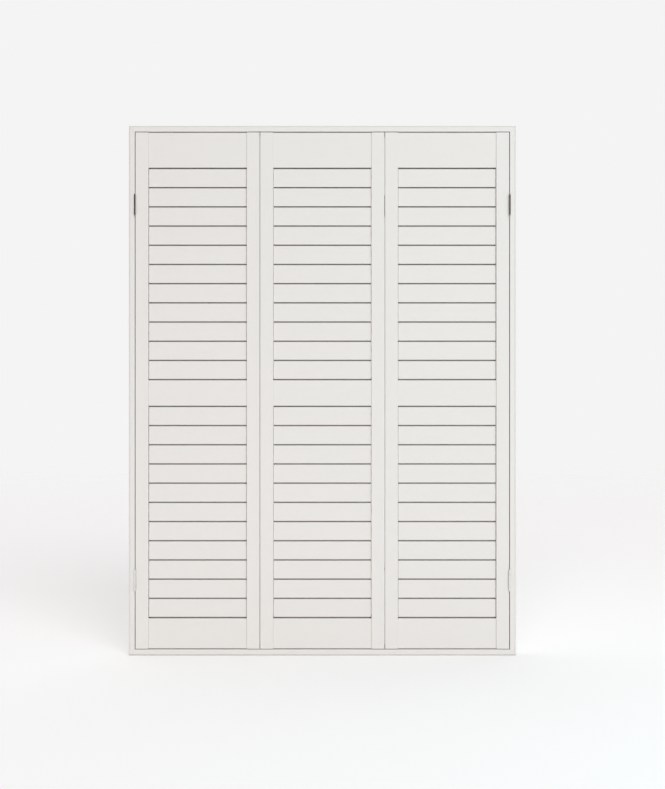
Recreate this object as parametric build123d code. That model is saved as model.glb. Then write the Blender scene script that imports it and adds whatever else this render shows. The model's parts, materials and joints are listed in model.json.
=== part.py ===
"""Three-leaf louvred interior shutter in a mitred L-section frame.

The leaves hang in the frame's rebate: one on the left jamb, and a folding pair on the right jamb.
Each leaf has two stiles, three rails and two tiers of flush, lapped louvres.
Frame of the part: X to the right seen from the room, Y away from the room, Z up.
The origin is the middle of the sill's underside.
"""
import os

from build123d import *

# Surround: an L-section of a face leg and a stop lip, mitred at the corners
FACE_WIDTH = 21.0
FRAME_DEPTH = 46.0
STOP_WIDTH = 12.0
STOP_GAP = 1.5
FRAME_EDGE_RADIUS = 3.0
FRAME_ARRIS_RADIUS = 1.0
REVEAL = 2.0

# Leaves
LEAF_NAMES = ("left", "middle", "right")
LEAF_GAP = 2.0
STILE_WIDTH = 46.0
STILE_THICKNESS = 27.0
STILE_EDGE_RADIUS = 1.2
OPENING_WIDTH = 349.0
TOP_RAIL_HEIGHT = 127.0
MID_RAIL_HEIGHT = 95.0
BOTTOM_RAIL_HEIGHT = 109.5
RAIL_THICKNESS = 20.0
RAIL_EDGE_RADIUS = 1.0
TENON_LENGTH = 18.0
TENON_THICKNESS = 10.0
TENON_SHOULDER = 20.0
TENON_CLEARANCE = 0.1

# Louvres: flat blades with a lap along each long edge
LOUVRES_PER_TIER = 11
LOUVRE_PITCH = 68.25
LOUVRE_LAP = 8.0
LOUVRE_THICKNESS = 13.0
LOUVRE_LIP = 3.5
LOUVRE_GROOVE = 4.6
LOUVRE_EDGE_RADIUS = 1.0
LOUVRE_END_GAP = 1.2
LAP_CLEARANCE = 1.0
PIVOT_RADIUS = 3.0
PIVOT_LENGTH = 9.0
PIVOT_HOLE_SPARE = 1.0
RUNNING_CLEARANCE = 0.05

# Tilt bars, clipped to the back edges of a tier's louvres
BAR_INSET = 60.0
BAR_THICKNESS = 2.0
BAR_WIDTH = 6.0
BAR_END = 5.0
BAR_END_RADIUS = 2.0
CLIP_THICKNESS = 3.0
CLIP_SIDE_CLEARANCE = 0.2
CLIP_REACH = 7.0
CLIP_STAND_OFF = 8.0
CLIP_MARGIN = 2.5
CLIP_BED = 0.5
CLIP_FOOT = 10.0
CLIP_PIN_RADIUS = 1.5
CLIP_CAP_RADIUS = 2.2
CLIP_CAP_THICKNESS = 0.8
BAR_RAIL_CLEARANCE = 1.5

# Hinges: fixed-pin butts, let into the stiles and jambs
HINGE_LENGTH = 70.0
HINGE_TOP_OFFSET = 258.0
HINGE_BOTTOM_OFFSET = 244.0
KNUCKLE_COUNT = 5
KNUCKLE_RADIUS = 3.5
KNUCKLE_END_CLEARANCE = 0.2
KNUCKLE_FACE_CLEARANCE = 0.3
HINGE_PIN_RADIUS = 1.75
HINGE_TIP_RADIUS = 2.6
HINGE_TIP_LENGTH = 4.8
HINGE_TIP_EASE = 1.2
HINGE_LEAF_DEPTH = 22.0
HINGE_LEAF_THICKNESS = 1.5
HINGE_LEAF_CLEARANCE = 0.2
MORTISE_CLEARANCE = 0.2
SCREW_COUNT = 3
SCREW_SPACING = 25.0
SCREW_HEAD_RADIUS = 3.0
SCREW_SHANK_RADIUS = 1.6
SCREW_HEAD_HEIGHT = 1.3
SCREW_LENGTH = 14.0

# Catches: a magnet in the head's stop and a strike plate on each meeting stile
MAGNET_WIDTH = 30.0
MAGNET_HEIGHT = 7.0
MAGNET_DEPTH = 6.0
STRIKE_THICKNESS = 1.2
STRIKE_MARGIN = 1.0
CATCH_CLEARANCE = 0.1

# Fixing holes through the surround
FIXING_HOLE_RADIUS = 2.5
FIXING_HEAD_RADIUS = 5.0
FIXING_HEAD_DEPTH = 3.0
FIXING_END_OFFSET = 150.0

# One overrun for every through cut, and how close a picked corner has to be
OVERRUN = 5.0
SNAP = 0.01

# Derived sizes
LEAF_WIDTH = OPENING_WIDTH + 2 * STILE_WIDTH
LEAF_PITCH = LEAF_WIDTH + LEAF_GAP
TIER_HEIGHT = LOUVRES_PER_TIER * LOUVRE_PITCH
LEAF_HEIGHT = TOP_RAIL_HEIGHT + MID_RAIL_HEIGHT + BOTTOM_RAIL_HEIGHT + 2 * TIER_HEIGHT
FRAME_WIDTH = 2 * FACE_WIDTH + len(LEAF_NAMES) * LEAF_PITCH + LEAF_GAP
FRAME_HEIGHT = 2 * FACE_WIDTH + LEAF_HEIGHT + 2 * LEAF_GAP
FRAME_FRONT = -FRAME_DEPTH / 2
FRAME_BACK = FRAME_DEPTH / 2
LEAF_FRONT = FRAME_FRONT + REVEAL
LEAF_MIDDLE = LEAF_FRONT + STILE_THICKNESS / 2
LEAF_BACK = LEAF_FRONT + STILE_THICKNESS
STOP_FRONT = LEAF_BACK + STOP_GAP
LEAF_BOTTOM = FACE_WIDTH + LEAF_GAP
LEAF_TOP = LEAF_BOTTOM + LEAF_HEIGHT
LOWER_TIER_BASE = LEAF_BOTTOM + BOTTOM_RAIL_HEIGHT
UPPER_TIER_BASE = LOWER_TIER_BASE + TIER_HEIGHT + MID_RAIL_HEIGHT
LAP_REACH = (LOUVRE_PITCH + LOUVRE_LAP) / 2
BODY_REACH = LOUVRE_PITCH - LOUVRE_GROOVE - LAP_REACH
LOUVRE_LENGTH = OPENING_WIDTH - 2 * LOUVRE_END_GAP
LOUVRE_BACK = LOUVRE_THICKNESS / 2
LIP_FRONT = LOUVRE_BACK - LOUVRE_LIP
LAP_FRONT = LIP_FRONT - LAP_CLEARANCE
CLIP_PIN_UP = LAP_REACH + CLIP_REACH
CLIP_PIN_BACK = LOUVRE_BACK + CLIP_STAND_OFF
AXIS_STAND_OFF = KNUCKLE_RADIUS + KNUCKLE_FACE_CLEARANCE
HINGE_HEIGHTS = (LEAF_BOTTOM + HINGE_BOTTOM_OFFSET, LEAF_TOP - HINGE_TOP_OFFSET)
JAMB_AXIS_Y = FRAME_FRONT - AXIS_STAND_OFF
FOLD_AXIS_Y = LEAF_BACK + AXIS_STAND_OFF


def block(x0, x1, y0, y1, z0, z1):
    """Box between two corners."""
    return Pos((x0 + x1) / 2, (y0 + y1) / 2, (z0 + z1) / 2) * Box(x1 - x0, y1 - y0, z1 - z0)


def rod_x(radius, x0, x1, y, z):
    """Round rod along X."""
    return Pos((x0 + x1) / 2, y, z) * (Rot(0, 90, 0) * Cylinder(radius, x1 - x0))


def rod_z(radius, z0, z1):
    """Round rod along Z on the local axis."""
    return Pos(0, 0, (z0 + z1) / 2) * Cylinder(radius, z1 - z0)


def outline_along_x(points, x0, x1, rounded=(), radius=0.0):
    """Prism from an outline of (y, z) points, with the named corners rounded, between x0 and x1."""
    corners = [Vector(0, y, z) for y, z in points]
    face = make_face(Polyline(*corners, close=True))
    wanted = [Vector(0, *points[i]) for i in rounded]
    picked = [v for v in face.vertices() if any((Vector(v) - w).length < SNAP for w in wanted)]
    if picked:
        face = fillet(picked, radius)
    return Pos(x0, 0, 0) * extrude(face, amount=x1 - x0, dir=(1, 0, 0))


def leaf_left_edge(index):
    """X of a leaf's left edge."""
    return -FRAME_WIDTH / 2 + FACE_WIDTH + LEAF_GAP + index * LEAF_PITCH


def pivot_heights(tier_base):
    """Heights of a tier's louvre pivots, from the top one down."""
    top = tier_base + TIER_HEIGHT - LOUVRE_GROOVE / 2 - BODY_REACH
    return [top - i * LOUVRE_PITCH for i in range(LOUVRES_PER_TIER)]


# Surround

def surround_member(length):
    """Mitred sill lying along X, its outer side down at z = 0; the other members are turned copies."""
    inner = FACE_WIDTH
    lip = FACE_WIDTH + STOP_WIDTH
    points = [
        (FRAME_FRONT, 0),
        (FRAME_FRONT, inner),
        (STOP_FRONT, inner),
        (STOP_FRONT, lip),
        (FRAME_BACK, lip),
        (FRAME_BACK, 0),
    ]
    member = outline_along_x(points, -length / 2, length / 2, (0,), FRAME_EDGE_RADIUS)
    inner_edge = member.edges().filter_by(Axis.X).group_by(Axis.Y)[0].sort_by(Axis.Z)[-1]
    member = fillet(inner_edge, FRAME_ARRIS_RADIUS)
    for side in (-1, 1):
        corner = Plane(origin=(side * length / 2, 0, 0), x_dir=(0, 1, 0), z_dir=(side, 0, 1))
        member = split(member, bisect_by=corner, keep=Keep.BOTTOM)
    half_span = length / 2 - FIXING_END_OFFSET
    for x in (-half_span, half_span):
        hole = Pos(x, LEAF_MIDDLE, inner / 2) * Cylinder(FIXING_HOLE_RADIUS, inner + 2 * OVERRUN)
        sink = Pos(x, LEAF_MIDDLE, inner - FIXING_HEAD_DEPTH / 2) * Cone(
            FIXING_HOLE_RADIUS, FIXING_HEAD_RADIUS, FIXING_HEAD_DEPTH
        )
        member = member - hole - sink
    return member


def surround():
    """Sill, head and the two jambs."""
    centre = Pos(0, 0, FRAME_HEIGHT / 2)
    flat = surround_member(FRAME_WIDTH)
    upright = surround_member(FRAME_HEIGHT)
    to_centre_flat = Pos(0, 0, -FRAME_HEIGHT / 2)
    to_centre_upright = Pos(0, 0, -FRAME_WIDTH / 2)
    return {
        "frame_sill": centre * to_centre_flat * flat,
        "frame_head": centre * Rot(0, 180, 0) * to_centre_flat * flat,
        "frame_left_jamb": centre * Rot(0, 90, 0) * to_centre_upright * upright,
        "frame_right_jamb": centre * Rot(0, -90, 0) * to_centre_upright * upright,
    }


# Louvres and tilt bars

def louvre_outline():
    """Lapped blade section about its pivot: the thick front hangs low and the thin back lip stands high."""
    return [
        (-LOUVRE_BACK, -LAP_REACH),
        (-LOUVRE_BACK, BODY_REACH),
        (LIP_FRONT, BODY_REACH),
        (LIP_FRONT, LAP_REACH),
        (LOUVRE_BACK, LAP_REACH),
        (LOUVRE_BACK, -BODY_REACH),
        (LAP_FRONT, -BODY_REACH),
        (LAP_FRONT, -LAP_REACH),
    ]


def clip_outline():
    """Arm from the blade's back to the tilt bar's pin, bent clear of the rail above."""
    root = LOUVRE_BACK - CLIP_BED
    back = CLIP_PIN_BACK + CLIP_MARGIN
    front = RAIL_THICKNESS / 2 + BAR_RAIL_CLEARANCE
    top = CLIP_PIN_UP + CLIP_MARGIN
    elbow = BODY_REACH + CLIP_FOOT
    return [
        (root, BODY_REACH),
        (back, CLIP_PIN_UP - CLIP_MARGIN),
        (back, top),
        (front, top),
        (front, elbow),
        (root, LAP_REACH - CLIP_MARGIN),
    ]


def louvre():
    """One blade with its two pivots and its tilt clip, left end at x = 0, pivot on the X axis."""
    rounded = (0, 1, 3, 4, 5, 7)
    blade = outline_along_x(louvre_outline(), 0, LOUVRE_LENGTH, rounded, LOUVRE_EDGE_RADIUS)
    reach = LOUVRE_END_GAP + PIVOT_LENGTH
    pivots = rod_x(PIVOT_RADIUS, -reach, LOUVRE_LENGTH + reach, 0, 0)
    clip_right = BAR_INSET - CLIP_SIDE_CLEARANCE
    clip = outline_along_x(clip_outline(), clip_right - CLIP_THICKNESS, clip_right)
    cap_left = BAR_INSET + BAR_THICKNESS + CLIP_SIDE_CLEARANCE
    pin = rod_x(CLIP_PIN_RADIUS, clip_right, cap_left, CLIP_PIN_BACK, CLIP_PIN_UP)
    cap = rod_x(CLIP_CAP_RADIUS, cap_left, cap_left + CLIP_CAP_THICKNESS, CLIP_PIN_BACK, CLIP_PIN_UP)
    return blade + pivots + clip + pin + cap


def tilt_bar(pin_holes):
    """Flat bar behind a tier, in the frame of that tier's top louvre."""
    drop = (LOUVRES_PER_TIER - 1) * LOUVRE_PITCH
    bar = block(
        BAR_INSET,
        BAR_INSET + BAR_THICKNESS,
        CLIP_PIN_BACK - BAR_WIDTH / 2,
        CLIP_PIN_BACK + BAR_WIDTH / 2,
        CLIP_PIN_UP - drop - BAR_END,
        CLIP_PIN_UP + BAR_END,
    )
    bar = fillet(bar.edges().filter_by(Axis.X), BAR_END_RADIUS)
    if pin_holes:
        for i in range(LOUVRES_PER_TIER):
            height = CLIP_PIN_UP - i * LOUVRE_PITCH
            bar -= rod_x(
                CLIP_PIN_RADIUS + RUNNING_CLEARANCE,
                BAR_INSET - OVERRUN,
                BAR_INSET + BAR_THICKNESS + OVERRUN,
                CLIP_PIN_BACK,
                height,
            )
    return bar


# Stiles and rails

def rail(bottom, top, lapped_top, lapped_bottom):
    """Rail between two groove heights, with laps where a tier meets it, left shoulder at x = 0."""
    half = RAIL_THICKNESS / 2
    lift = LAP_REACH - BODY_REACH
    groove = LOUVRE_GROOVE / 2
    points = []
    if lapped_bottom:
        points += [(-half, bottom + groove), (LAP_FRONT, bottom + groove)]
        points += [(LAP_FRONT, bottom + groove + lift), (half, bottom + groove + lift)]
    else:
        points += [(-half, bottom), (half, bottom)]
    if lapped_top:
        points += [(half, top - groove + lift), (LIP_FRONT, top - groove + lift)]
        points += [(LIP_FRONT, top - groove), (-half, top - groove)]
    else:
        points += [(half, top), (-half, top)]
    rounded = [i for i, (y, z) in enumerate(points) if abs(y) == half]
    board = outline_along_x(points, 0, OPENING_WIDTH, rounded, RAIL_EDGE_RADIUS)
    low, high = tenon_heights(bottom, top)
    tenons = block(
        -TENON_LENGTH,
        OPENING_WIDTH + TENON_LENGTH,
        -TENON_THICKNESS / 2,
        TENON_THICKNESS / 2,
        low,
        high,
    )
    return board + tenons


def tenon_heights(bottom, top):
    """Lower and upper edge of a rail's tenons."""
    return bottom + TENON_SHOULDER, top - TENON_SHOULDER


def rail_spans():
    """Groove-to-groove heights of the bottom, mid and top rail."""
    return {
        "bottom_rail": (LEAF_BOTTOM, LOWER_TIER_BASE, True, False),
        "mid_rail": (LOWER_TIER_BASE + TIER_HEIGHT, UPPER_TIER_BASE, True, True),
        "top_rail": (UPPER_TIER_BASE + TIER_HEIGHT, LEAF_TOP, False, True),
    }


def stile(inner_side, bored_tiers):
    """Stile with its inner edge at x = 0; inner_side is +1 where the opening lies towards +X."""
    x0, x1 = sorted((0, -inner_side * STILE_WIDTH))
    half = STILE_THICKNESS / 2
    board = block(x0, x1, -half, half, LEAF_BOTTOM, LEAF_TOP)
    board = fillet(board.edges().filter_by(Axis.Z), STILE_EDGE_RADIUS)
    for bottom, top, _, _ in rail_spans().values():
        low, high = tenon_heights(bottom, top)
        depth = -inner_side * (TENON_LENGTH + TENON_CLEARANCE)
        m0, m1 = sorted((inner_side * OVERRUN, depth))
        side = TENON_THICKNESS / 2 + TENON_CLEARANCE
        board -= block(m0, m1, -side, side, low - TENON_CLEARANCE, high + TENON_CLEARANCE)
    depth = -inner_side * (PIVOT_LENGTH + PIVOT_HOLE_SPARE)
    h0, h1 = sorted((inner_side * OVERRUN, depth))
    for tier_base in bored_tiers:
        for height in pivot_heights(tier_base):
            board -= rod_x(PIVOT_RADIUS + RUNNING_CLEARANCE, h0, h1, 0, height)
    return board


# Hinges, drawn about their own axis: leaves run to +Y, the fixed leaf on -X and the moving leaf on +X

def screw_places():
    """Heights of a hinge leaf's screws about the hinge's middle."""
    return [(i - (SCREW_COUNT - 1) / 2) * SCREW_SPACING for i in range(SCREW_COUNT)]


def screw_setting_out():
    """Distance of the screws behind the hinge axis: the middle of the leaf's bare plate."""
    return (AXIS_STAND_OFF + HINGE_LEAF_DEPTH) / 2


def hinge_screw(side, height, spare=0.0):
    """Countersunk screw into the wood on one side; a spare makes it the cutter for its hole."""
    face = HINGE_LEAF_CLEARANCE / 2
    head = Cone(SCREW_SHANK_RADIUS + spare, SCREW_HEAD_RADIUS + spare, SCREW_HEAD_HEIGHT)
    head = Pos(face + SCREW_HEAD_HEIGHT / 2, 0, 0) * (Rot(0, -90, 0) * head)
    shank = rod_x(SCREW_SHANK_RADIUS + spare, face, face + SCREW_LENGTH + spare, 0, 0)
    screw = Pos(0, screw_setting_out(), height) * (head + shank)
    return screw if side > 0 else mirror(screw, Plane.YZ)


def hinge_leaf(side, knuckles, with_pin):
    """Leaf plate with its knuckles; the fixed leaf also holds the peened pin with its two tips."""
    face = HINGE_LEAF_CLEARANCE / 2
    half = HINGE_LENGTH / 2
    plate_x = sorted((side * face, side * (face + HINGE_LEAF_THICKNESS)))
    leaf = block(*plate_x, AXIS_STAND_OFF, HINGE_LEAF_DEPTH, -half, half)
    step = HINGE_LENGTH / KNUCKLE_COUNT
    for k in knuckles:
        low = -half + k * step + KNUCKLE_END_CLEARANCE / 2
        high = low + step - KNUCKLE_END_CLEARANCE
        web = block(*plate_x, 0, AXIS_STAND_OFF, low, high)
        leaf = leaf + rod_z(KNUCKLE_RADIUS, low, high) + web
    if with_pin:
        tip = rod_z(HINGE_TIP_RADIUS, half - KNUCKLE_END_CLEARANCE, half + HINGE_TIP_LENGTH)
        tip = fillet(tip.edges().group_by(Axis.Z)[-1], HINGE_TIP_EASE)
        leaf = leaf + rod_z(HINGE_PIN_RADIUS, -half, half) + tip + mirror(tip, Plane.XY)
    else:
        leaf -= rod_z(HINGE_PIN_RADIUS + RUNNING_CLEARANCE, -half - OVERRUN, half + OVERRUN)
    for height in screw_places():
        leaf -= hinge_screw(side, height, RUNNING_CLEARANCE)
    return leaf


def hinge_sets():
    """Solids of one hinge: the fixed leaf, the moving leaf, and each leaf's screws."""
    fixed = [hinge_leaf(-1, range(0, KNUCKLE_COUNT, 2), True)]
    fixed += [hinge_screw(-1, height) for height in screw_places()]
    moving = [hinge_leaf(1, range(1, KNUCKLE_COUNT, 2), False)]
    moving += [hinge_screw(1, height) for height in screw_places()]
    return fixed, moving


def hinge_cutters():
    """Mortise and screw holes for the fixed leaf and for the moving leaf."""
    cutters = []
    outer = HINGE_LEAF_CLEARANCE / 2 + HINGE_LEAF_THICKNESS
    half = HINGE_LENGTH / 2 + MORTISE_CLEARANCE
    for side in (-1, 1):
        x0, x1 = sorted((0, side * outer))
        cutter = block(x0, x1, -OVERRUN, HINGE_LEAF_DEPTH + MORTISE_CLEARANCE, -half, half)
        for height in screw_places():
            cutter += hinge_screw(side, height, RUNNING_CLEARANCE)
        cutters.append(cutter)
    return cutters


def hinge_lines():
    """Placing functions of the left jamb's, right jamb's and folding seam's hinge axes."""
    left = -FRAME_WIDTH / 2 + FACE_WIDTH + LEAF_GAP / 2
    right = -left
    seam = right - LEAF_PITCH
    return {
        "left": lambda s, z: Pos(left, JAMB_AXIS_Y, z) * s,
        "right": lambda s, z: Pos(right, JAMB_AXIS_Y, z) * mirror(s, Plane.YZ),
        "fold": lambda s, z: Pos(seam, FOLD_AXIS_Y, z) * (Rot(0, 0, 180) * s),
    }


def hung(solids, line):
    """Copies of hinge solids at both hinge heights of one axis."""
    place = hinge_lines()[line]
    return [place(s, z) for z in HINGE_HEIGHTS for s in solids]


# Catches

def catch_places():
    """X of the two catches, on the stiles that meet between the left and middle leaf."""
    seam = leaf_left_edge(1) - LEAF_GAP / 2
    offset = (STILE_WIDTH + LEAF_GAP) / 2
    return {"left": seam - offset, "middle": seam + offset}


def magnet(x, spare=0.0):
    """Bar magnet let into the head's stop, behind the leaf."""
    base = FRAME_HEIGHT - FACE_WIDTH - STOP_WIDTH + (STOP_WIDTH - MAGNET_HEIGHT) / 2
    half = MAGNET_WIDTH / 2 + spare
    back = STOP_FRONT + MAGNET_DEPTH
    return block(x - half, x + half, STOP_FRONT, back, base - spare, base + MAGNET_HEIGHT + spare)


def strike(x, spare=0.0):
    """Steel plate let into the back of a meeting stile, facing the magnet."""
    top = LEAF_TOP - STRIKE_MARGIN
    base = FRAME_HEIGHT - FACE_WIDTH - STOP_WIDTH
    half = MAGNET_WIDTH / 2 + spare
    front = LEAF_BACK - STRIKE_THICKNESS
    return block(x - half, x + half, front, LEAF_BACK, base - spare, top + spare)


# Assembly

def leaf_nodes(index):
    """Stiles, rails, louvres and tilt bar of one leaf, in place."""
    name = LEAF_NAMES[index]
    left = leaf_left_edge(index) + STILE_WIDTH
    louvre_left = left + LOUVRE_END_GAP
    at_left = Pos(left, LEAF_MIDDLE, 0)
    at_right = Pos(left + OPENING_WIDTH, LEAF_MIDDLE, 0)
    nodes = {}
    row = stile(1, (UPPER_TIER_BASE,))
    blade = louvre()
    lower = pivot_heights(LOWER_TIER_BASE)
    row = row + [Pos(LOUVRE_END_GAP, 0, z) * blade for z in lower]
    row = row + Pos(LOUVRE_END_GAP, 0, lower[0]) * tilt_bar(False)
    nodes[f"{name}_leaf_left_stile"] = at_left * row
    nodes[f"{name}_leaf_right_stile"] = at_right * stile(-1, (UPPER_TIER_BASE, LOWER_TIER_BASE))
    for rail_name, (bottom, top, lapped_top, lapped_bottom) in rail_spans().items():
        nodes[f"{name}_leaf_{rail_name}"] = at_left * rail(bottom, top, lapped_top, lapped_bottom)
    upper = pivot_heights(UPPER_TIER_BASE)
    for i, height in enumerate(upper, start=1):
        nodes[f"{name}_louvre_{i:02d}"] = Pos(louvre_left, LEAF_MIDDLE, height) * blade
    nodes[f"{name}_tilt_bar"] = Pos(louvre_left, LEAF_MIDDLE, upper[0]) * tilt_bar(True)
    return nodes


def main():
    """Build every node and write it."""
    nodes = surround()
    for index in range(len(LEAF_NAMES)):
        nodes.update(leaf_nodes(index))

    fixed, moving = hinge_sets()
    fixed_cut, moving_cut = hinge_cutters()
    nodes["frame_hinge_leaves"] = hung(fixed, "left") + hung(fixed, "right")
    nodes["left_leaf_fittings"] = hung(moving, "left")
    nodes["right_leaf_fittings"] = hung(moving, "right") + hung(fixed, "fold")
    nodes["middle_leaf_fittings"] = hung(moving, "fold")
    cuts = {
        "frame_left_jamb": hung([fixed_cut], "left"),
        "frame_right_jamb": hung([fixed_cut], "right"),
        "left_leaf_left_stile": hung([moving_cut], "left"),
        "right_leaf_right_stile": hung([moving_cut], "right"),
        "right_leaf_left_stile": hung([fixed_cut], "fold"),
        "middle_leaf_right_stile": hung([moving_cut], "fold"),
    }
    places = catch_places()
    nodes["catch_magnets"] = [magnet(x) for x in places.values()]
    cuts["frame_head"] = [magnet(x, CATCH_CLEARANCE) for x in places.values()]
    nodes["left_leaf_fittings"].append(strike(places["left"]))
    nodes["middle_leaf_fittings"].append(strike(places["middle"]))
    cuts["left_leaf_right_stile"] = [strike(places["left"], CATCH_CLEARANCE)]
    cuts["middle_leaf_left_stile"] = [strike(places["middle"], CATCH_CLEARANCE)]
    for name, cutters in cuts.items():
        nodes[name] = nodes[name] - cutters

    os.makedirs("parts", exist_ok=True)
    for name, shape in nodes.items():
        solids = shape if isinstance(shape, list) else [shape]
        solids = [s for piece in solids for s in piece.solids()]
        export_step(solids[0] if len(solids) == 1 else Compound(children=solids), f"parts/{name}.step")


main()
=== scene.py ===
"""Three-leaf louvred shutter in its frame: satin white joinery, plated butt hinges and steel catches."""

import json
import math

import bmesh
import bpy
from bpy.props import FloatProperty, FloatVectorProperty, IntProperty, PointerProperty
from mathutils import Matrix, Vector
from mathutils.kdtree import KDTree


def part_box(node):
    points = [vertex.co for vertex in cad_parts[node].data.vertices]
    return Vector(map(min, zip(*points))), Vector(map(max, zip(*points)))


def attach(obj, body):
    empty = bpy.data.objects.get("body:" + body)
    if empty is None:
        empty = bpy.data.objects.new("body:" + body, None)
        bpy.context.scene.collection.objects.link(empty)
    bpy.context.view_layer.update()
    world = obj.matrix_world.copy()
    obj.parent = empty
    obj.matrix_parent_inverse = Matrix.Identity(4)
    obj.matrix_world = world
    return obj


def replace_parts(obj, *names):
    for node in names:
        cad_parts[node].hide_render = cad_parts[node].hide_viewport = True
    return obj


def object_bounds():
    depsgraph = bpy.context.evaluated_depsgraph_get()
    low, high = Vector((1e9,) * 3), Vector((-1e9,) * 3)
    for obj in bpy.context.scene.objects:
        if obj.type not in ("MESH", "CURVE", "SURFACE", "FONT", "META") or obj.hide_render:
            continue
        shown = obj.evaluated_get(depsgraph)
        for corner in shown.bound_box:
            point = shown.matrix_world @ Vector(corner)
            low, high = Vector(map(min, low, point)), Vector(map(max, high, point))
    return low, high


bl_info = {
    "name": "Louvred Shutter",
    "version": (1, 0, 0),
    "blender": (4, 5, 0),
    "location": "View3D > Sidebar > Shutter",
    "description": "Dresses a packed three-leaf louvred shutter and sets it in a pale studio",
    "category": "Object",
}

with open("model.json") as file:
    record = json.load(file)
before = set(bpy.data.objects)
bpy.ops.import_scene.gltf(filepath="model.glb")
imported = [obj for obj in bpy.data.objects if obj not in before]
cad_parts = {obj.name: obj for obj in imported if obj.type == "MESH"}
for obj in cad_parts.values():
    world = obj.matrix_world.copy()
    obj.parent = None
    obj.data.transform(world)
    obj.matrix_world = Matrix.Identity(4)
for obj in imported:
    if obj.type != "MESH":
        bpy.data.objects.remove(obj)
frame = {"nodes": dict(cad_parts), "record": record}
CAD_LOW, CAD_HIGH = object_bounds()
RECORD = frame["record"]
NODES = frame["nodes"]
BODY_OF = {node: body for body, nodes in RECORD["behaviour"]["bodies"].items() for node in nodes}
SLOT_OF = {row["node"]: row["material_slot"] for row in RECORD["subparts"]}
LEAVES = ("left", "middle", "right")

# The upper louvres turn about axes along X; the joints of one leaf give the heights for all three
TILTS = [j for j in RECORD["behaviour"]["joints"] if j["name"].startswith("left_louvre")]
UPPER_PIVOTS = [j["pos_m"][2] for j in TILTS]
PIVOT_Y = TILTS[0]["pos_m"][1]
BLADE_BACK = 2 * PIVOT_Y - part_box("left_louvre_01")[0].y

TINY = 1e-6  # stands in for zero in a division

# Lengths in metres that tell points and faces apart
WELD = 1e-6  # points closer than this are one point
ON_PLANE = 1e-5  # points this near to a plane lie on it
NEARLY = 1e-4  # room for what should end at an edge or a radius
CLIP_STAND = 2e-4  # faces farther than this behind the blades are a clip's
SCREW_SPAN = 0.008  # every screw is slimmer than this, and no hinge leaf is

# Small pieces, in metres and shares
ARRIS_ANGLE = math.radians(35)  # edges bent more than this stay sharp
COLLAR_EASE = 0.25  # share of a collar's thickness that each rim's easing takes
CAP_DOME = ((0.0, 1.0), (0.35, 0.985), (0.7, 0.90), (0.9, 0.72), (1.0, 0.40))  # of height, of radius
RECESS_FLOOR = ((1.0, 0.35), (0.8, 0.75))  # of the recess's depth, of its outline
RECESS_LIP = 0.00012  # depth of the eased mouth of the recess
SCREW_STEPS = 48
SCREW_EASE = 0.0001
SCREW_CONE = 0.0013  # depth of the countersunk head
SCREW_TIP = 0.0015  # length of the tapered tip
TIP_SHARE = 0.25  # of the shank's radius

# Finishes: noise scales per metre, and reliefs as strength and depth
FINE_DETAIL = 3.0
PAINT_CLOUD = 6.0
PAINT_RELIEF = (0.14, 0.0002)
CLOUD_SHARE = 0.4  # of the cloud in the mottled paint, where the rest is grain
RIPPLE_SHARE = 0.45  # of the ripple in the paint's relief, where the rest is grain
GLOSS_SPREAD = 0.06
# Painted shade: ambient occlusion darkens the paint towards a shade colour in gaps and crevices
PAINTED_SHADE_RANGE = (0.05, 0.6)  # openness at which the paint shows its full painted shade, and where it shows plain paint
PAINTED_SHADE_RAYS = 6
NYLON_CLOUD = 45.0
NYLON_GRAIN = 2600.0
NYLON_RELIEF = (0.1, 0.0001)
NYLON_GLOSS = (0.34, 0.52)
NYLON_MOTTLE = 0.95
METAL_CLOUD = 160.0
METAL_RELIEF = (0.05, 0.00005)
METAL_MOTTLE = 0.88
TOOL_LINE = (0.00012, 0.008)  # width and length
TOOL_GLOSS = (0.7, 1.3)  # shares of the roughness
PLATING_ROUGHNESS = 0.09
STEEL_ROUGHNESS = 0.34

# Stage, in metres and degrees
KEY_AIM = Vector((-0.16, 0.88, -0.42)).normalized()
BACK_AIM = Vector((0.2, -0.8, -0.5)).normalized()
SIDE_COLOUR = (0.55, 0.90, 1.0)
SIDE_SPILL = 0.04  # what the side light adds to the light on the floor
LAMPS = {  # colour, width, place and the point that it looks at
    "side_light": (SIDE_COLOUR, 2.4, (2.1, -2.2, 2.2), (0.3, 0.0, 1.25)),
    "top_light": ((1.0, 1.0, 1.0), 1.2, (0.2, -1.2, 2.6), (0.1, 0.0, 1.85)),
}
FLOOR_HALF = 60
FLOOR_FADE = (2.5, 12.0)  # where the floor begins to clear, and where it is gone
FLOOR_CLOUD = 1.5
FLOOR_MOTTLE = 0.997
FLAGS = {  # bearings from +X, and heights
    "studio_flag_front": ((-180, 0), (1.85, 9.0)),
    "studio_flag_left": ((112, 128), (0.0, 9.0)),
    "studio_flag_right": ((52, 68), (0.0, 9.0)),
}
FLAG_REACH = 8.0
FLAG_STEPS = 24
FLAG_CLOUD = 3.0
FLAG_TONES = ((0.03, 0.029, 0.025), (0.045, 0.043, 0.038))
SENSOR_WIDTH = 36.0  # in millimetres


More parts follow.
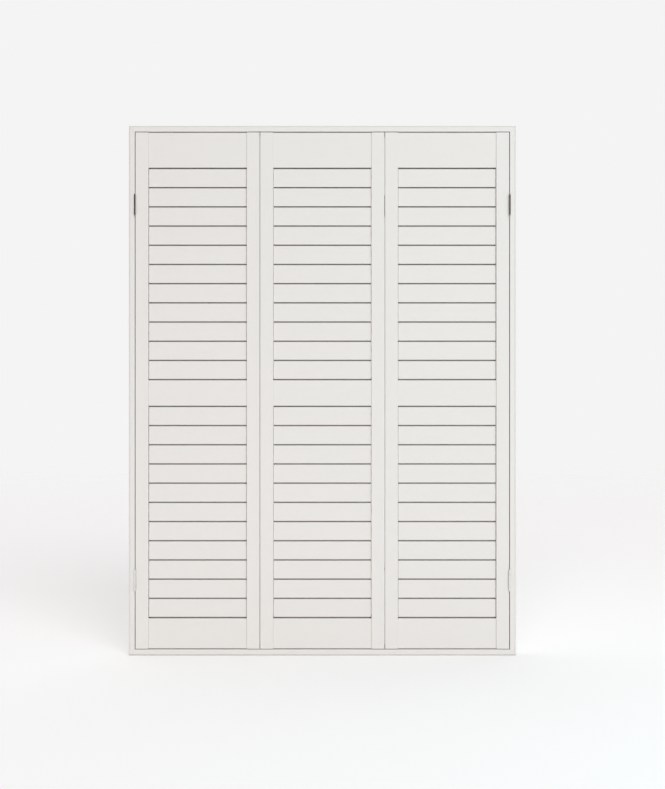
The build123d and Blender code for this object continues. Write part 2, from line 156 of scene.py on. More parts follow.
class ShutterPaint(bpy.types.PropertyGroup):
    """Finish of the painted wood."""

    colour: FloatVectorProperty(
        name="Paint colour", description="Colour of the white paint", subtype="COLOR",
        default=(0.772, 0.737, 0.710), min=0.0, max=1.0,
    )
    shade: FloatVectorProperty(
        name="Paint shade", description="Colour of the paint where the coat lies thin", subtype="COLOR",
        default=(0.748, 0.711, 0.684), min=0.0, max=1.0,
    )
    roughness: FloatProperty(
        name="Roughness", description="Middle roughness of the satin coat", subtype="FACTOR",
        default=0.42, min=0.0, max=1.0,
    )
    grain_width: FloatProperty(
        name="Grain width", description="Width of one grain streak under the paint", unit="LENGTH",
        subtype="DISTANCE", default=0.0018, min=0.0002,
    )
    grain_length: FloatProperty(
        name="Grain length", description="Length of one grain streak under the paint", unit="LENGTH",
        subtype="DISTANCE", default=0.11, min=0.001,
    )
    ripple: FloatProperty(
        name="Coat ripple", description="Size of the ripples that a sprayed coat keeps", unit="LENGTH",
        subtype="DISTANCE", default=0.0024, min=0.0002,
    )
    # Painted shade: reach of the ambient occlusion that darkens the paint in gaps
    painted_shade_reach: FloatProperty(
        name="Crevice reach", description="Depth at which a gap between boards counts as dark", unit="LENGTH",
        subtype="DISTANCE", default=0.008, min=0.0,
    )
    # Painted shade colours that the occlusion mixes into the paint deep in gaps, standing in for shade
    border_painted_shade: FloatVectorProperty(
        name="Border gap", description="Colour deep in the gaps along the surround and the top rails",
        subtype="COLOR", default=(0.45, 0.43, 0.41), min=0.0, max=1.0,
    )
    stile_painted_shade: FloatVectorProperty(
        name="Stile gap", description="Colour deep in the gaps along the stiles", subtype="COLOR",
        default=(0.170, 0.158, 0.148), min=0.0, max=1.0,
    )
    louvre_painted_shade: FloatVectorProperty(
        name="Louvre gap", description="Colour deep between louvres and along the lower rails",
        subtype="COLOR", default=(0.066, 0.053, 0.028), min=0.0, max=1.0,
    )
    quirk_reach: FloatProperty(
        name="Quirk place", description="From the surround's outer edge to the middle of the quirk",
        unit="LENGTH", subtype="DISTANCE", default=0.0036, min=0.0,
    )
    quirk_width: FloatProperty(
        name="Quirk width", description="Width of the quirk", unit="LENGTH", subtype="DISTANCE",
        default=0.0011, min=0.0001,
    )
    quirk_depth: FloatProperty(
        name="Quirk depth", description="Depth of the quirk", unit="LENGTH", subtype="DISTANCE",
        default=0.0010, min=0.0,
    )
    mitre_joint: FloatProperty(
        name="Mitre joint", description="Length drawn back from each mitred end for a fine joint line",
        unit="LENGTH", subtype="DISTANCE", default=0.00012, min=0.0,
    )


class ShutterMetal(bpy.types.PropertyGroup):
    """Finish of the hinges, screws and catches."""

    plating: FloatVectorProperty(
        name="Plating", description="Colour of the bright plating on the hinges", subtype="COLOR",
        default=(0.86, 0.855, 0.84), min=0.0, max=1.0,
    )
    steel: FloatVectorProperty(
        name="Steel", description="Colour of the catch magnets and strike plates", subtype="COLOR",
        default=(0.50, 0.50, 0.51), min=0.0, max=1.0,
    )
    recess_width: FloatProperty(
        name="Recess width", description="Width of one arm of a screw's cross recess", unit="LENGTH",
        subtype="DISTANCE", default=0.0009, min=0.0001,
    )
    recess_reach: FloatProperty(
        name="Recess reach", description="Length of one arm of the cross recess from the screw's middle",
        unit="LENGTH", subtype="DISTANCE", default=0.0018, min=0.0001,
    )
    recess_depth: FloatProperty(
        name="Recess depth", description="Depth of the cross recess", unit="LENGTH", subtype="DISTANCE",
        default=0.001, min=0.0001,
    )


class ShutterTrim(bpy.types.PropertyGroup):
    """Small plastic pieces."""

    nylon: FloatVectorProperty(
        name="Nylon", description="Colour of the pivot collars and cover caps", subtype="COLOR",
        default=(0.80, 0.79, 0.765), min=0.0, max=1.0,
    )
    collar_radius: FloatProperty(
        name="Collar radius", description="Outside radius of a louvre pivot's collar", unit="LENGTH",
        subtype="DISTANCE", default=0.0055, min=0.001,
    )
    collar_bore: FloatProperty(
        name="Collar bore", description="Inside radius of the collar, just over the pivot's", unit="LENGTH",
        subtype="DISTANCE", default=0.00312, min=0.001,
    )
    collar_spare: FloatProperty(
        name="Collar clearance", description="Room left on each side of a collar", unit="LENGTH",
        subtype="DISTANCE", default=0.00015, min=0.0,
    )
    end_gap: FloatProperty(
        name="End gap", description="Room between a louvre's end and the stile", unit="LENGTH",
        subtype="DISTANCE", default=0.0012, min=0.0,
    )
    tier_drop: FloatProperty(
        name="Tier drop", description="Height from an upper louvre to its fellow in the lower tier",
        unit="LENGTH", subtype="DISTANCE", default=0.84575, min=0.0,
    )
    face_leg: FloatProperty(
        name="Face leg", description="Thickness of the surround's face leg, which the fixing screws pass",
        unit="LENGTH", subtype="DISTANCE", default=0.021, min=0.001,
    )
    cap_radius: FloatProperty(
        name="Cap radius", description="Radius of the cap over a fixing screw", unit="LENGTH",
        subtype="DISTANCE", default=0.0062, min=0.001,
    )
    cap_height: FloatProperty(
        name="Cap height", description="How far a cap stands off the wood", unit="LENGTH",
        subtype="DISTANCE", default=0.0009, min=0.0001,
    )
    round_steps: IntProperty(
        name="Round steps", description="Corners of one small round piece", default=32, min=8,
    )


class ShutterStage(bpy.types.PropertyGroup):
    """Camera, floor and light."""

    distance: FloatProperty(
        name="Camera distance", description="From the camera to the front of the leaves", unit="LENGTH",
        subtype="DISTANCE", default=4.0, min=0.5,
    )
    view_height: FloatProperty(
        name="View height", description="Height that the picture takes in at the front of the leaves",
        unit="LENGTH", subtype="DISTANCE", default=2.80, min=0.1,
    )
    camera_x: FloatProperty(
        name="Camera sideways", description="Camera's place to the right of the shutter's middle",
        unit="LENGTH", subtype="DISTANCE", default=0.0360,
    )
    camera_z: FloatProperty(
        name="Camera height", description="Camera's height above the floor", unit="LENGTH",
        subtype="DISTANCE", default=0.9255,
    )
    backdrop: FloatVectorProperty(
        name="Backdrop", description="Colour of the floor and of the space behind", subtype="COLOR",
        default=(0.905, 0.905, 0.905), min=0.0, max=1.0,
    )
    floor_shade: FloatVectorProperty(
        name="Floor shade", description="Colour with which the floor throws light back", subtype="COLOR",
        default=(0.86, 0.845, 0.83), min=0.0, max=1.0,
    )
    dome: FloatProperty(
        name="Dome light", description="Strength of the even light from all round", default=0.32, min=0.0,
    )
    key: FloatProperty(
        name="Key light", description="Strength of the wide light in front", default=1.85, min=0.0,
    )
    key_softness: FloatProperty(
        name="Key softness", description="How wide the key light is, seen from the shutter", subtype="ANGLE",
        default=math.radians(60), min=0.0, max=math.pi,
    )
    back_light: FloatProperty(
        name="Back light", description="Strength of the wide light behind the shutter", default=1.4, min=0.0,
    )
    back_softness: FloatProperty(
        name="Back softness", description="How wide the back light is, seen from the shutter",
        subtype="ANGLE", default=math.radians(115), min=0.0, max=math.pi,
    )
    side_light: FloatProperty(
        name="Side light", description="Power of the cool lamp at the right", unit="POWER",
        default=15.0, min=0.0,
    )
    top_light: FloatProperty(
        name="Top light", description="Power of the small lamp over the head", unit="POWER",
        default=1.0, min=0.0,
    )


class NodeBench:
    """Adds nodes to one material or world and links them."""

    def __init__(self, tree):
        self.tree = tree
        tree.nodes.clear()

    def add(self, kind, values=None, **settings):
        """New node with its settings and socket values; a linked value is given as a socket."""
        node = self.tree.nodes.new(kind)
        for key, value in settings.items():
            setattr(node, key, value)
        for key, value in (values or {}).items():
            if isinstance(value, bpy.types.NodeSocket):
                self.tree.links.new(value, node.inputs[key])
            else:
                node.inputs[key].default_value = value
        return node

    def where(self):
        """Coordinates that go with the piece."""
        return self.add("ShaderNodeTexCoord").outputs["Object"]

    def noise(self, place, scale, detail=2.0):
        """Factor of a noise texture."""
        values = {"Vector": place, "Scale": scale, "Detail": detail}
        return self.add("ShaderNodeTexNoise", values).outputs["Fac"]

    def streaks(self, place, axis, width, length):
        """Noise drawn out along one axis."""
        scale = [1.0 / width] * 3
        scale["XYZ".index(axis)] = 1.0 / length
        along = self.add("ShaderNodeMapping", {"Vector": place, "Scale": scale})
        return self.noise(along.outputs[0], 1.0, FINE_DETAIL)

    def mix(self, factor, first, second):
        """Blend of two colours by a factor socket."""
        ends = [c if isinstance(c, bpy.types.NodeSocket) else (*c, 1.0) for c in (first, second)]
        values = {"Factor": factor, "A": ends[0], "B": ends[1]}
        return self.add("ShaderNodeMix", values, data_type="RGBA").outputs[2]

    def blend(self, share, first, second):
        """Blend of two value sockets at a fixed share."""
        return self.add("ShaderNodeMix", {"Factor": share, "A": first, "B": second}).outputs[0]

    def spread(self, value, low, high):
        """Value socket stretched between two ends."""
        return self.add("ShaderNodeMapRange", {"Value": value, "To Min": low, "To Max": high}).outputs[0]

    def ramp(self, value, low, high):
        """Smooth rise from 0 to 1 as a value socket goes from one end to the other."""
        values = {"Value": value, "From Min": low, "From Max": high}
        return self.add("ShaderNodeMapRange", values, interpolation_type="SMOOTHSTEP").outputs[0]

    def seen(self):
        """1 for rays that show the background: camera, mirror and glass rays."""
        rays = self.add("ShaderNodeLightPath").outputs
        total = rays["Is Camera Ray"]
        for name in ("Is Glossy Ray", "Is Transmission Ray"):
            total = self.add("ShaderNodeMath", {0: total, 1: rays[name]}, operation="MAXIMUM").outputs[0]
        return total

    def either(self, factor, first, second):
        """Mix of two shader nodes by a factor socket."""
        values = {"Fac": factor, 1: first.outputs[0], 2: second.outputs[0]}
        return self.add("ShaderNodeMixShader", values)

    def skin(self, colour, roughness, height, relief, **more):
        """Surface with a fine relief, as what the material shows."""
        strength, depth = relief
        bump = self.add("ShaderNodeBump", {"Strength": strength, "Distance": depth, "Height": height})
        self.show(self.add("ShaderNodeBsdfPrincipled", {
            "Base Color": colour, "Roughness": roughness, "Normal": bump.outputs[0], **more,
        }))

    def show(self, shader, kind="Material"):
        """Makes a shader node what the material or world shows."""
        self.add(f"ShaderNodeOutput{kind}", {"Surface": shader.outputs[0]})


def new_material(name):
    """Empty node material and its bench."""
    material = bpy.data.materials.new(name)
    material.use_nodes = True
    return material, NodeBench(material.node_tree)


def toned(colour, share):
    """A colour at a share of its strength."""
    return [c * share for c in colour]


def painted_wood(name, grain_axis, gap):
    """Satin white paint over wood whose grain runs along one axis, with painted shade in deep gaps from
    ambient occlusion.
    """
    paint = bpy.context.scene.shutter_paint
    material, bench = new_material(name)
    place = bench.where()
    grain = bench.streaks(place, grain_axis, paint.grain_width, paint.grain_length)
    ripple = bench.noise(place, 1.0 / paint.ripple)
    cloud = bench.noise(place, PAINT_CLOUD)
    plain = bench.mix(bench.blend(CLOUD_SHARE, grain, cloud), paint.shade, paint.colour)
    # Painted shade: the occlusion mixes the shade colour into the paint where it is hemmed in by gaps
    depth = bench.add("ShaderNodeAmbientOcclusion", {"Distance": paint.painted_shade_reach}, samples=PAINTED_SHADE_RAYS)
    tint = bench.mix(bench.ramp(depth.outputs["AO"], *PAINTED_SHADE_RANGE), gap, plain)
    gloss = bench.spread(cloud, paint.roughness - GLOSS_SPREAD, paint.roughness + GLOSS_SPREAD)
    bench.skin(tint, gloss, bench.blend(RIPPLE_SHARE, grain, ripple), PAINT_RELIEF, IOR=1.47)
    return material


def moulded_nylon(name):
    """White nylon with the fine grain of its mould."""
    colour = bpy.context.scene.shutter_trim.nylon
    material, bench = new_material(name)
    place = bench.where()
    fine = bench.noise(place, NYLON_GRAIN)
    tint = bench.mix(bench.noise(place, NYLON_CLOUD), toned(colour, NYLON_MOTTLE), colour)
    bench.skin(tint, bench.spread(fine, *NYLON_GLOSS), fine, NYLON_RELIEF, IOR=1.53)
    return material


def bright_metal(name, colour, roughness, brush_axis):
    """Metal with fine tooling lines along one axis and a little cloudiness."""
    material, bench = new_material(name)
    place = bench.where()
    lines = bench.streaks(place, brush_axis, *TOOL_LINE)
    tint = bench.mix(bench.noise(place, METAL_CLOUD, FINE_DETAIL), toned(colour, METAL_MOTTLE), colour)
    gloss = bench.spread(lines, *(roughness * share for share in TOOL_GLOSS))
    bench.skin(tint, gloss, lines, METAL_RELIEF, Metallic=1.0)
    return material


def finish(name):
    """One of the shutter's finishes, made the first time it is asked for."""
    if name in bpy.data.materials:
        return bpy.data.materials[name]
    paint = bpy.context.scene.shutter_paint
    metal = bpy.context.scene.shutter_metal
    make, *details = {
        # Each paint carries the painted shade colour that its gaps darken to
        "border_upright": (painted_wood, "Z", paint.border_painted_shade),
        "border_level": (painted_wood, "X", paint.border_painted_shade),
        "paint_upright": (painted_wood, "Z", paint.stile_painted_shade),
        "paint_level": (painted_wood, "X", paint.louvre_painted_shade),
        "nylon": (moulded_nylon,),
        "hinge_plating": (bright_metal, metal.plating, PLATING_ROUGHNESS, "Z"),
        "catch_steel": (bright_metal, metal.steel, STEEL_ROUGHNESS, "X"),
    }[name]
    return make(name, *details)


def coat(node, material):
    """Gives a node its finish."""
    for slot in NODES[node].material_slots:
        slot.material = finish(material)


def settle(mesh, name, body, finishes):
    """Puts a mesh in the scene as a piece that rides on a body."""
    for material in finishes:
        mesh.materials.append(finish(material))
    piece = bpy.data.objects.new(name, mesh)
    bpy.context.scene.collection.objects.link(piece)
    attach(piece, body)
    return piece


def lay_down(bm, name, body, finishes):
    """Turns a bench mesh into a piece, smooth but for its arrises."""
    mesh = bpy.data.meshes.new(name)
    bm.to_mesh(mesh)
    bm.free()
    mesh.shade_smooth()
    mesh.set_sharp_from_angle(angle=ARRIS_ANGLE)
    piece = settle(mesh, name, body, finishes)
    piece.modifiers.new("flat_faces", "WEIGHTED_NORMAL").keep_sharp = True
    return piece


def dress(node, name, finishes, choose=None, left_out=()):
    """Piece in a node's place, with its normals and a finish for each face, picked by the face's middle."""
    source = NODES[node].data
    faces = [f for f in source.polygons if f.vertices[0] not in left_out]
    used = sorted({v for f in faces for v in f.vertices})
    place = {v: i for i, v in enumerate(used)}
    mesh = bpy.data.meshes.new(name)
    mesh.from_pydata(
        [source.vertices[v].co for v in used], [], [[place[v] for v in f.vertices] for f in faces],
    )
    if choose:
        mesh.polygons.foreach_set("material_index", [choose(f.center) for f in faces])
    mesh.shade_smooth()
    mesh.normals_split_custom_set([source.corner_normals[i].vector for f in faces for i in f.loop_indices])
    piece = settle(mesh, name, BODY_OF[node], finishes)
    coat(node, finishes[0])
    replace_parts(piece, node)


def loose_parts(mesh):
    """Groups of a mesh's vertices that hang together, seams included."""
    count = len(mesh.vertices)
    tree = KDTree(count)
    for i, vert in enumerate(mesh.vertices):
        tree.insert(vert.co, i)
    tree.balance()
    leader = list(range(count))

    def head(i):
        while leader[i] != i:
            leader[i] = leader[leader[i]]
            i = leader[i]
        return i

    for i, vert in enumerate(mesh.vertices):
        for _, j, _ in tree.find_range(vert.co, WELD):
            leader[head(j)] = head(i)
    for face in mesh.polygons:
        for j in face.vertices:
            leader[head(j)] = head(face.vertices[0])
    groups = {}
    for i in range(count):
        groups.setdefault(head(i), []).append(i)
    return list(groups.values())


def extents(points):
    """Least and greatest X, Y and Z of some points."""
    return [[pick(p[i] for p in points) for i in range(3)] for pick in (min, max)]


def turns(steps):
    """Angles of one full turn in even steps."""
    return [math.tau * i / steps for i in range(steps)]


def ring_about_x(x, y, z, radius, steps):
    """Round loop about an axis along X."""
    return [Vector((x, y + radius * math.cos(t), z + radius * math.sin(t))) for t in turns(steps)]


def loft(bm, loops, capped=True):
    """Skin over closed loops of points that all have the same count."""
    rows = [[bm.verts.new(p) for p in loop] for loop in loops]
    count = len(rows[0])
    for low, high in zip(rows, rows[1:]):
        for i in range(count):
            j = (i + 1) % count
            bm.faces.new((low[i], low[j], high[j], high[i]))
    if capped:
        bm.faces.new(rows[0][::-1])
        bm.faces.new(rows[-1])


def stile_edges(leaf):
    """X of the inner edges of a leaf's two stiles."""
    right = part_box(f"{leaf}_leaf_right_stile")[0].x
    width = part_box(f"{leaf}_leaf_right_stile")[1].x - right
    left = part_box(f"{leaf}_leaf_left_stile")[0].x + width
    return left, right


class SHUTTER_OT_surround(bpy.types.Operator):
    """Paints the four mitred members of the surround and runs a fine quirk along their outer edge"""

    bl_idname = "shutter.surround"
    bl_label = "Surround"

    def execute(self, context):
        paint = context.scene.shutter_paint
        for node in ("frame_sill", "frame_head", "frame_left_jamb", "frame_right_jamb"):
            upright = "jamb" in node
            run, across = (2, 0) if upright else (0, 2)
            grain = "border_upright" if upright else "border_level"
            source = NODES[node].data
            bm = bmesh.new()
            points = [bm.verts.new(v.co) for v in source.vertices]
            for face in source.polygons:
                bm.faces.new([points[i] for i in face.vertices])
            bmesh.ops.remove_doubles(bm, verts=bm.verts, dist=WELD)
            self.quirk(bm, node, across, paint)
            self.draw_back(bm, run, paint.mitre_joint)
            coat(node, grain)
            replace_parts(lay_down(bm, f"{node}_painted", BODY_OF[node], [grain]), node)
        return {"FINISHED"}

    def quirk(self, bm, node, across, paint):
        """V-shaped line in the front face, along the member's outer edge."""
        low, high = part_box(node)
        side = math.copysign(1, low[across] + high[across] - CAD_LOW[across] - CAD_HIGH[across])
        outer = high[across] if side > 0 else low[across]
        facing = Vector((0, 0, 0))
        facing[across] = side
        for share in (-0.5, 0.0, 0.5):
            spot = facing * (side * outer - paint.quirk_reach - share * paint.quirk_width)
            bmesh.ops.bisect_plane(
                bm, geom=[*bm.verts, *bm.edges, *bm.faces], dist=WELD, plane_co=spot, plane_no=facing,
            )
        for vert in bm.verts:
            inward = side * (outer - vert.co[across])
            if abs(inward - paint.quirk_reach) < ON_PLANE and abs(vert.co.y - low.y) < WELD:
                vert.co.y += paint.quirk_depth

    def draw_back(self, bm, run, joint):
        """Shortens the mitred ends a little, which leaves fine joint lines."""
        middle = (CAD_LOW + CAD_HIGH)[run] / 2
        for vert in bm.verts:
            if self.on_mitre(vert.co):
                vert.co[run] -= math.copysign(joint, vert.co[run] - middle)

    def on_mitre(self, point):
        """True for a point on one of the four corners' mitre planes."""
        from_side = CAD_HIGH.x - abs(point.x)
        from_end = min(point.z - CAD_LOW.z, CAD_HIGH.z - point.z)
        return abs(from_side - from_end) < ON_PLANE


class SHUTTER_OT_leaf_frames(bpy.types.Operator):
    """Paints the stiles and rails, with the lower louvres that are fixed to the left stiles"""

    bl_idname = "shutter.leaf_frames"
    bl_label = "Stiles and rails"

    def execute(self, context):
        for leaf in LEAVES:
            inner = stile_edges(leaf)[0] + NEARLY
            dress(
                f"{leaf}_leaf_left_stile", f"{leaf}_stile_and_lower_louvres",
                ["paint_upright", "paint_level", "nylon"],
                lambda p: 0 if p.x < inner else (2 if p.y > BLADE_BACK + CLIP_STAND else 1),
            )
            coat(f"{leaf}_leaf_right_stile", "paint_upright")
            # Top rails take the lighter painted shade of the surround, the others the darker painted shade of
            # the louvres
            for rail, grain in (("top", "border_level"), ("mid", "paint_level"), ("bottom", "paint_level")):
                coat(f"{leaf}_leaf_{rail}_rail", grain)
        return {"FINISHED"}


class SHUTTER_OT_louvres(bpy.types.Operator):
    """Paints the tilting louvres and their nylon clips and pivots"""

    bl_idname = "shutter.louvres"
    bl_label = "Louvres"

    def execute(self, context):
        for leaf in LEAVES:
            left, right = stile_edges(leaf)
            for node in [n for n in NODES if n.startswith(f"{leaf}_louvre")]:
                dress(
                    node, f"{node}_painted", ["paint_level", "nylon"],
                    lambda p: int(p.y > BLADE_BACK + CLIP_STAND or not left < p.x < right),
                )
        return {"FINISHED"}


class SHUTTER_OT_tilt_bars(bpy.types.Operator):
    """Finishes the tilt bars behind the upper louvres"""

    bl_idname = "shutter.tilt_bars"
    bl_label = "Tilt bars"

    def execute(self, context):
        for leaf in LEAVES:
            coat(f"{leaf}_tilt_bar", "paint_upright")
        return {"FINISHED"}


class SHUTTER_OT_collars(bpy.types.Operator):
    """Slips a nylon collar over each louvre pivot, between the blade and the stile"""

    bl_idname = "shutter.collars"
    bl_label = "Pivot collars"

    def execute(self, context):
        trim = context.scene.shutter_trim
        for leaf in LEAVES:
            bm = bmesh.new()
            left, right = stile_edges(leaf)
            for z in [z - drop for z in UPPER_PIVOTS for drop in (0, trim.tier_drop)]:
                for edge, inward in ((left, 1), (right, -1)):
                    self.collar(bm, trim, edge, inward, z)
            lay_down(bm, f"{leaf}_pivot_collars", f"{leaf}_leaf", ["nylon"])
        return {"FINISHED"}

    def collar(self, bm, trim, edge, inward, z):
        """One collar: a washer with eased rims."""
        near = edge + inward * trim.collar_spare
        far = edge + inward * (trim.end_gap - trim.collar_spare)
        ease = (far - near) * COLLAR_EASE
        shape = [
            (near, trim.collar_bore), (near, trim.collar_radius - abs(ease)),
            (near + ease, trim.collar_radius), (far - ease, trim.collar_radius),
            (far, trim.collar_radius - abs(ease)), (far, trim.collar_bore), (near, trim.collar_bore),
        ]
        loft(bm, [ring_about_x(x, PIVOT_Y, z, r, trim.round_steps) for x, r in shape], capped=False)
        bmesh.ops.remove_doubles(bm, verts=bm.verts, dist=WELD)


class SHUTTER_OT_hinges(bpy.types.Operator):
    """Plates the hinge leaves and drives cross-recessed screws through them"""

    bl_idname = "shutter.hinges"
    bl_label = "Hinges"

    def execute(self, context):
        for node in [n for n, slot in SLOT_OF.items() if slot == "hinge_steel"]:
            mesh = NODES[node].data
            screws = [g for g in loose_parts(mesh) if self.is_screw([mesh.vertices[i].co for i in g])]
            dress(node, f"{node}_plated", ["hinge_plating"], left_out={i for g in screws for i in g})
            bm = bmesh.new()
            for group in screws:
                self.screw(bm, context.scene.shutter_metal, [mesh.vertices[i].co for i in group])
            lay_down(bm, f"{node}_screws", BODY_OF[node], ["hinge_plating"])
        return {"FINISHED"}

    def is_screw(self, points):
        """Screws are slim across their own axis, and no hinge leaf is."""
        low, high = extents(points)
        return sorted(b - a for a, b in zip(low, high))[1] < SCREW_SPAN

    def screw(self, bm, metal, points):
        """Countersunk screw in the place of a plain one, with a cross recess in its head."""
        low, high = extents(points)
        y, z = (low[1] + high[1]) / 2, (low[2] + high[2]) / 2
        head = (high[2] - low[2]) / 2
        wide = [p.x for p in points if abs(math.hypot(p.y - y, p.z - z) - head) < NEARLY]
        into = 1 if wide[0] - low[0] < high[0] - wide[0] else -1
        top = low[0] if into > 0 else high[0]
        length = high[0] - low[0]
        shank = min(math.hypot(p.y - y, p.z - z) for p in points if abs(p.x - top) > length / 2)

        def loop(depth, radius):
            x = top + into * depth
            return [
                Vector((x, y + radius(t) * math.cos(into * t), z + radius(t) * math.sin(into * t)))
                for t in turns(SCREW_STEPS)
            ]

        def cross(share):
            half = metal.recess_width / 2

            def radius(t):
                c, s = abs(math.cos(t)), abs(math.sin(t))
                along, across = max(c, s), min(c, s)
                return share * min(metal.recess_reach / along, half / max(across, TINY))
            return radius

        mouth = cross(1.0)
        loft(bm, [
            *(loop(metal.recess_depth * deep, cross(share)) for deep, share in RECESS_FLOOR),
            loop(RECESS_LIP, mouth),
            loop(0.0, lambda t: mouth(t) + SCREW_EASE),
            loop(0.0, lambda t: head - 2 * SCREW_EASE),
            loop(SCREW_EASE, lambda t: head),
            loop(SCREW_CONE, lambda t: shank),
            loop(length - SCREW_TIP, lambda t: shank),
            loop(length, lambda t: shank * TIP_SHARE),
        ])


class SHUTTER_OT_catches(bpy.types.Operator):
    """Finishes the magnets in the head's stop"""

    bl_idname = "shutter.catches"
    bl_label = "Catches"

    def execute(self, context):
        coat("catch_magnets", "catch_steel")
        return {"FINISHED"}


class SHUTTER_OT_caps(bpy.types.Operator):
    """Covers the fixing screws in the surround with low domed caps"""

    bl_idname = "shutter.caps"
    bl_label = "Cover caps"

    def execute(self, context):
        trim = context.scene.shutter_trim
        bm = bmesh.new()
        for mount in RECORD["mounts"]:
            if mount["kind"] == "bolt_pattern":
                self.caps(bm, trim, mount)
        lay_down(bm, "fixing_caps", "frame", ["nylon"])
        return {"FINISHED"}

    def caps(self, bm, trim, mount):
        """The two caps of one member, on the side away from the wall."""
        inward = -Vector(mount["axis"])
        middle = Vector(mount["pos_m"]) + inward * trim.face_leg
        along = Vector((0, 0, 1)) if abs(inward.x) > 0.5 else Vector((1, 0, 0))
        side = inward.cross(along)
        spacing = max(v for k, v in mount["dims"].items() if k.startswith("spacing")) / 1000
        for end in (-0.5, 0.5):
            centre = middle + along * spacing * end
            loft(bm, [
                [
                    centre + inward * rise * trim.cap_height
                    + (along * math.cos(t) + side * math.sin(t)) * reach * trim.cap_radius
                    for t in turns(trim.round_steps)
                ]
                for rise, reach in CAP_DOME
            ])


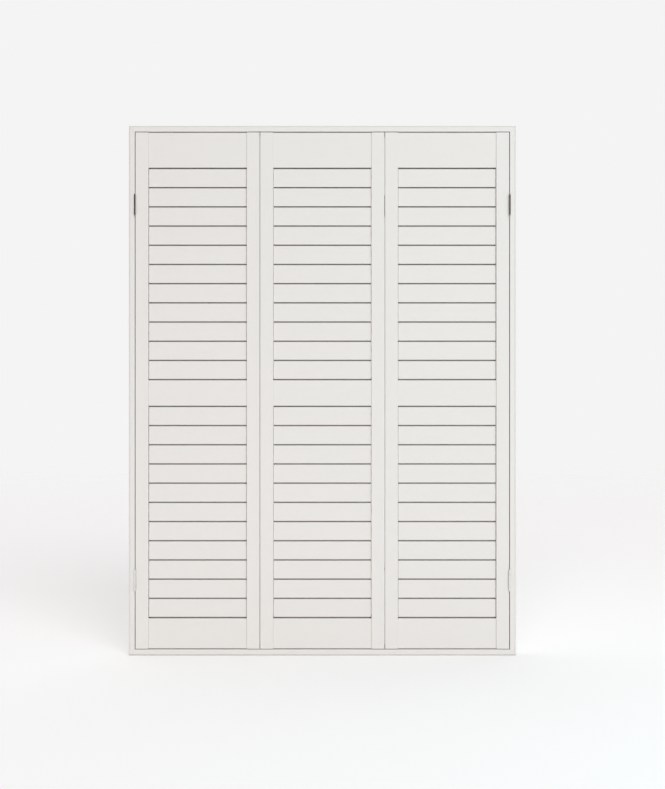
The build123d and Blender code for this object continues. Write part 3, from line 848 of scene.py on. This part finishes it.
class SHUTTER_OT_stage(bpy.types.Operator):
    """Sets the floor, the light and the camera"""

    bl_idname = "shutter.stage"
    bl_label = "Stage"

    def execute(self, context):
        stage = context.scene.shutter_stage
        self.world(context.scene, stage)
        self.sun("key", stage.key, stage.key_softness, KEY_AIM)
        self.sun("back_light", stage.back_light, stage.back_softness, BACK_AIM)
        for name, setting in LAMPS.items():
            self.lamp(name, getattr(stage, name), *setting)
        self.floor(stage)
        self.flags()
        self.camera(context.scene, stage)
        context.scene.view_settings.view_transform = "Standard"
        return {"FINISHED"}

    def world(self, scene, stage):
        """Even light all round, with the pale backdrop where it is seen."""
        world = bpy.data.worlds.new("studio")
        world.use_nodes = True
        scene.world = world
        bench = NodeBench(world.node_tree)
        dome = bench.add("ShaderNodeBackground", {"Color": (1.0, 1.0, 1.0, 1.0), "Strength": stage.dome})
        back = bench.add("ShaderNodeBackground", {"Color": (*stage.backdrop, 1.0), "Strength": 1.0})
        bench.show(bench.either(bench.seen(), dome, back), "World")

    def place(self, data, name, towards, location=(0, 0, 0)):
        """Puts a lamp or camera in the scene, looking along a direction and not mirrored in metal."""
        thing = bpy.data.objects.new(name, data)
        bpy.context.scene.collection.objects.link(thing)
        thing.location = location
        thing.rotation_mode = "QUATERNION"
        thing.rotation_quaternion = Vector(towards).to_track_quat("-Z", "Y")
        thing.visible_glossy = False
        return thing

    def sun(self, name, strength, softness, towards):
        """Wide, even light from far away."""
        light = bpy.data.lights.new(name, "SUN")
        light.energy = strength
        light.angle = softness
        self.place(light, name, towards)

    def lamp(self, name, power, colour, size, place, target):
        """Square lamp that looks at a point."""
        light = bpy.data.lights.new(name, "AREA")
        light.energy = power
        light.color = colour
        light.size = size
        self.place(light, name, Vector(target) - Vector(place), place)

    def floor(self, stage):
        """Pale floor that shows as the backdrop's tone, keeps the shadow and clears far away."""
        material, bench = new_material("studio_floor")
        place = bench.where()
        lit = stage.dome - (stage.key * KEY_AIM.z + stage.back_light * BACK_AIM.z) / math.pi
        tone = [c / (lit + s) for c, s in zip(stage.backdrop, toned(SIDE_COLOUR, SIDE_SPILL))]
        shown = bench.add("ShaderNodeBsdfDiffuse", {
            "Color": bench.mix(bench.noise(place, FLOOR_CLOUD), toned(tone, FLOOR_MOTTLE), tone),
        })
        thrown = bench.add("ShaderNodeBsdfDiffuse", {"Color": (*stage.floor_shade, 1.0)})
        both = bench.either(bench.seen(), thrown, shown)
        reach = bench.add("ShaderNodeVectorMath", {0: place}, operation="LENGTH").outputs["Value"]
        clear = bench.add("ShaderNodeBsdfTransparent")
        bench.show(bench.either(bench.ramp(reach, *FLOOR_FADE), both, clear))
        corners = ((-1, -1), (1, -1), (1, 1), (-1, 1))
        self.sheet("studio_floor", material, [(x * FLOOR_HALF, y * FLOOR_HALF, 0) for x, y in corners])

    def flags(self):
        """Dark cloths that only polished metal shows: a half ring high in front, and two tall ones behind."""
        material, bench = new_material("studio_flag")
        tone = bench.mix(bench.noise(bench.where(), FLAG_CLOUD), *FLAG_TONES)
        bench.show(bench.add("ShaderNodeBsdfDiffuse", {"Color": tone}))
        for name, (sector, heights) in FLAGS.items():
            self.flag(name, material, sector, heights)

    def flag(self, name, material, sector, heights):
        """One cloth, curved round the shutter between two bearings in degrees from +X."""
        start, end = sector
        bearings = [math.radians(start + (end - start) * i / FLAG_STEPS) for i in range(FLAG_STEPS + 1)]
        flag = self.sheet(
            name, material,
            [(FLAG_REACH * math.cos(t), FLAG_REACH * math.sin(t), z) for z in heights for t in bearings],
            [(i, i + 1, i + FLAG_STEPS + 2, i + FLAG_STEPS + 1) for i in range(FLAG_STEPS)],
        )
        flag.visible_camera = False
        flag.visible_diffuse = False
        flag.visible_shadow = False
        flag.visible_transmission = False

    def sheet(self, name, material, corners, faces=((0, 1, 2, 3),)):
        """Thin stage piece, with its heights from the shutter's underside."""
        mesh = bpy.data.meshes.new(name)
        mesh.from_pydata([Vector(c) + Vector((0, 0, CAD_LOW.z)) for c in corners], [], faces)
        mesh.materials.append(material)
        sheet = bpy.data.objects.new(name, mesh)
        bpy.context.scene.collection.objects.link(sheet)
        return sheet

    def camera(self, scene, stage):
        """Level camera square on to the room side."""
        lens = bpy.data.cameras.new("camera")
        lens.sensor_width = SENSOR_WIDTH
        lens.lens = SENSOR_WIDTH * stage.distance / stage.view_height
        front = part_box("left_leaf_right_stile")[0].y
        place = (stage.camera_x, front - stage.distance, stage.camera_z)
        scene.camera = self.place(lens, "camera", (0, 1, 0), place)


class SHUTTER_PT_bench(bpy.types.Panel):
    """Lists the shutter's pieces in the order in which they are made"""

    bl_idname = "SHUTTER_PT_bench"
    bl_label = "Louvred Shutter"
    bl_space_type = "VIEW_3D"
    bl_region_type = "UI"
    bl_category = "Shutter"

    def draw(self, context):
        for operator in STEPS:
            self.layout.operator(operator.bl_idname)


STEPS = (
    SHUTTER_OT_surround, SHUTTER_OT_leaf_frames, SHUTTER_OT_louvres, SHUTTER_OT_tilt_bars, SHUTTER_OT_collars,
    SHUTTER_OT_hinges, SHUTTER_OT_catches, SHUTTER_OT_caps, SHUTTER_OT_stage,
)
SETTINGS = {
    "shutter_paint": ShutterPaint, "shutter_metal": ShutterMetal,
    "shutter_trim": ShutterTrim, "shutter_stage": ShutterStage,
}


def register():
    """Adds the settings, operators and panel."""
    for name, group in SETTINGS.items():
        bpy.utils.register_class(group)
        setattr(bpy.types.Scene, name, PointerProperty(type=group))
    for cls in (*STEPS, SHUTTER_PT_bench):
        bpy.utils.register_class(cls)


def unregister():
    """Takes them away again."""
    for cls in reversed((*STEPS, SHUTTER_PT_bench)):
        bpy.utils.unregister_class(cls)
    for name, group in reversed(SETTINGS.items()):
        delattr(bpy.types.Scene, name)
        bpy.utils.unregister_class(group)


def main():
    """Makes every piece and the stage."""
    register()
    for operator in STEPS:
        group, action = operator.bl_idname.split(".")
        getattr(getattr(bpy.ops, group), action)()


if __name__ == "__main__":
    main()
